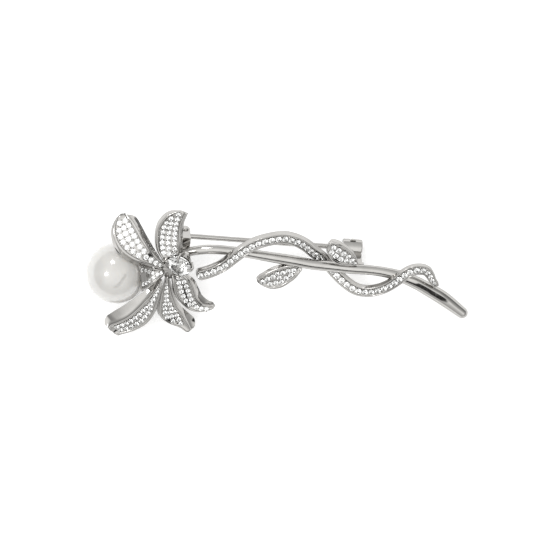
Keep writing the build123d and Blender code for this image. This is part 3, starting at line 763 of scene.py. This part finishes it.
def make_hub(rings=18, segments=144):
    """Boss in the middle of the flower, chased into lobes like the heart of a flower.

    Its rings crowd towards its edge, which the last of them reaches.
    """
    centre = place(*HUB_SPOT)
    side, other = sides(FACE_NORMAL)
    outline = []
    for i in range(1, rings + 1):
        share = i / rings
        roll = max(0.0, share - HUB_ROLL_START) / (1 - HUB_ROLL_START)
        drop = HUB_DOME * share**2 + HUB_ROLL * roll**2
        radius = HUB_RADIUS * math.sin(math.pi / 2 * min(1.0, share * 1.02))
        outline.append((radius, HUB_FRONT - drop, share))
    outline += [(HUB_RADIUS, HUB_BACK + HUB_CHAMFER, 0.0), (HUB_RADIUS - HUB_CHAMFER, HUB_BACK, 0.0)]
    loops = []
    for radius, height, share in outline:
        loop = []
        for j in range(segments):
            angle = 2 * math.pi * j / segments
            spoke = side * math.cos(angle) + other * math.sin(angle)
            lobe = HUB_LOBE_DEPTH * share * (abs(math.cos(HUB_LOBES / 2 * angle)) - 1)
            loop.append(centre + spoke * radius + FACE_NORMAL * (height + lobe))
        loops.append(loop)
    shell = Shell()
    shell.skin(loops)
    shell.finish("flower_hub", PLATED, "plated_metal", ["flower_hub"], sharp=50)


def make_centre_stone():
    """The large brilliant in the collet."""
    shell = Shell()
    side, other = sides(STONE_AXIS)
    add_brilliant(shell, STONE_CENTRE, STONE_AXIS, side, CENTRE_STONE_RADIUS)
    shell.finish("centre_stone", CENTRE_GLASS, "centre_stone", ["centre_stone"], sharp=1)


def dress_cad_nodes():
    """The nodes whose CAD shape stays get their finish, and some get softly rounded edges."""
    plated = ["pearl_cup", "pearl_peg", "centre_basket", "centre_prongs",
              "hinge_base", "catch_housing", "catch_rotor", "catch_lever"]
    steel = ["hinge_rivet", "pin_knuckle", "pin_wire"]
    for names, material in ((plated, PLATED), (steel, STEEL)):
        for name in names:
            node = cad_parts[name]
            node.data.materials.clear()
            node.data.materials.append(material)
    for name in ("hinge_base", "catch_housing", "catch_lever", "pin_knuckle"):
        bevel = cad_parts[name].modifiers.new("soft_edges", "BEVEL")
        bevel.width = SOFT_EDGE * MM
        bevel.segments = 3
        bevel.limit_method = "ANGLE"
        bevel.angle_limit = math.radians(40)


# ---------------------------------------------------------------- stage, lights and camera

def make_floor():
    """Pale floor that glows a little, so that it stays as pale as the photograph's background."""
    mesh = bpy.data.meshes.new("floor")
    far = FLOOR_SIZE
    corners = [(-far, -far, 0), (far, -far, 0), (far, far, 0), (-far, far, 0)]
    mesh.from_pydata(corners, [], [(0, 1, 2, 3)])
    material, tree, shader = new_material("floor")
    tint(tree, noise(tree, 60, 3), (0.80, 0.80, 0.80), (0.82, 0.82, 0.82), shader.inputs["Base Color"])
    shader.inputs["Roughness"].default_value = 0.9
    shader.inputs["Emission Color"].default_value = (1, 1, 1, 1)
    shader.inputs["Emission Strength"].default_value = 0.45
    mesh.materials.append(material)
    floor = bpy.data.objects.new("floor", mesh)
    bpy.context.scene.collection.objects.link(floor)


def make_surroundings():
    """White tent with a bright front and darker ends, and a long black card that draws dark lines."""
    world = bpy.data.worlds.new("tent")
    bpy.context.scene.world = world
    world.use_nodes = True
    tree = world.node_tree
    background = tree.nodes["Background"]
    coordinates = tree.nodes.new("ShaderNodeTexCoord")
    direction = coordinates.outputs["Generated"]
    split = tree.nodes.new("ShaderNodeSeparateXYZ")
    tree.links.new(direction, split.inputs["Vector"])

    def maths(operation, *values):
        node = tree.nodes.new("ShaderNodeMath")
        node.operation = operation
        for socket, value in zip(node.inputs, values):
            if isinstance(value, float):
                socket.default_value = value
            else:
                tree.links.new(value, socket)
        return node.outputs["Value"]

    def fade(value, near, far, low, high):
        node = tree.nodes.new("ShaderNodeMapRange")
        node.interpolation_type = "SMOOTHSTEP"
        levels = {"From Min": near, "From Max": far, "To Min": low, "To Max": high}
        for label, level in levels.items():
            node.inputs[label].default_value = level
        tree.links.new(value, node.inputs["Value"])
        return node.outputs["Result"]

    turn = fade(maths("ARCTAN2", split.outputs["Y"], split.outputs["Z"]), -math.pi, math.pi, 0.0, 1.0)
    turn.node.interpolation_type = "LINEAR"
    ramp = tree.nodes.new("ShaderNodeValToRGB")
    tree.links.new(turn, ramp.inputs["Fac"])
    # Degrees from straight up towards +Y, and the brightness there
    bands = [(-180, 0.5), (-95, 0.6), (-75, 0.8), (-55, 1.0), (-35, 1.55), (0, 1.65), (28, 1.1),
             (45, 0.95), (70, 0.85), (95, 0.6), (180, 0.5)]
    brightest = max(light for _, light in bands)
    elements = ramp.color_ramp.elements
    for i, (degrees, light) in enumerate(bands):
        element = elements[i] if i < 2 else elements.new(1.0)
        element.position = (degrees + 180) / 360
        share = light / brightest
        element.color = (share, share, share * TENT_BLUE, 1)

    def towards(axis):
        node = tree.nodes.new("ShaderNodeVectorMath")
        node.operation = "DOT_PRODUCT"
        node.inputs[1].default_value = axis
        tree.links.new(direction, node.inputs[0])
        return node.outputs["Value"]

    card_width = fade(maths("ABSOLUTE", towards(CARD_ACROSS)), *CARD_WIDTH, CARD_BLACK, 0.0)
    card_length = fade(towards(CARD_FACING), *CARD_LENGTH, 0.0, 1.0)
    open_share = maths("SUBTRACT", 1.0, maths("MULTIPLY", card_width, card_length))
    ends = fade(maths("ABSOLUTE", split.outputs["X"]), *TENT_ENDS, 1.0, TENT_END_LIGHT)
    strength = maths("MULTIPLY", maths("MULTIPLY", open_share, ends), brightest * TENT_POWER)
    tree.links.new(ramp.outputs["Color"], background.inputs["Color"])
    tree.links.new(strength, background.inputs["Strength"])


def add_light(name, position, size, power):
    """Soft box that faces the origin. Places and sizes are in metres."""
    light = bpy.data.lights.new(name, "AREA")
    light.shape = "RECTANGLE"
    light.size, light.size_y = size
    light.energy = power
    lamp = bpy.data.objects.new(name, light)
    lamp.location = position
    lamp.rotation_mode = "QUATERNION"
    lamp.rotation_quaternion = Vector(position).to_track_quat("Z", "Y")
    bpy.context.scene.collection.objects.link(lamp)


def make_camera():
    """Straight above FRAME_MIDDLE, with a lens that makes the picture FRAME_WIDTH wide there."""
    data = bpy.data.cameras.new("camera")
    data.sensor_width = 36.0
    data.lens = data.sensor_width * CAMERA_DISTANCE / (FRAME_WIDTH * MM)
    data.clip_start = 0.01
    data.clip_end = 10
    camera = bpy.data.objects.new("camera", data)
    camera.location = ORIGIN + FRAME_MIDDLE * MM + Vector((0, 0, CAMERA_DISTANCE))
    bpy.context.scene.collection.objects.link(camera)
    bpy.context.scene.camera = camera


make_stem()
make_vine()
make_petals()
make_pearl()
make_hub()
make_centre_stone()
dress_cad_nodes()
make_floor()
make_surroundings()
add_light("key", (-0.12, 0.34, 0.38), (0.12, 0.12), 0.45)
add_light("left", (-0.30, -0.03, 0.40), (0.10, 0.10), 0.35)
make_camera()
bpy.context.scene.view_settings.view_transform = "Standard"
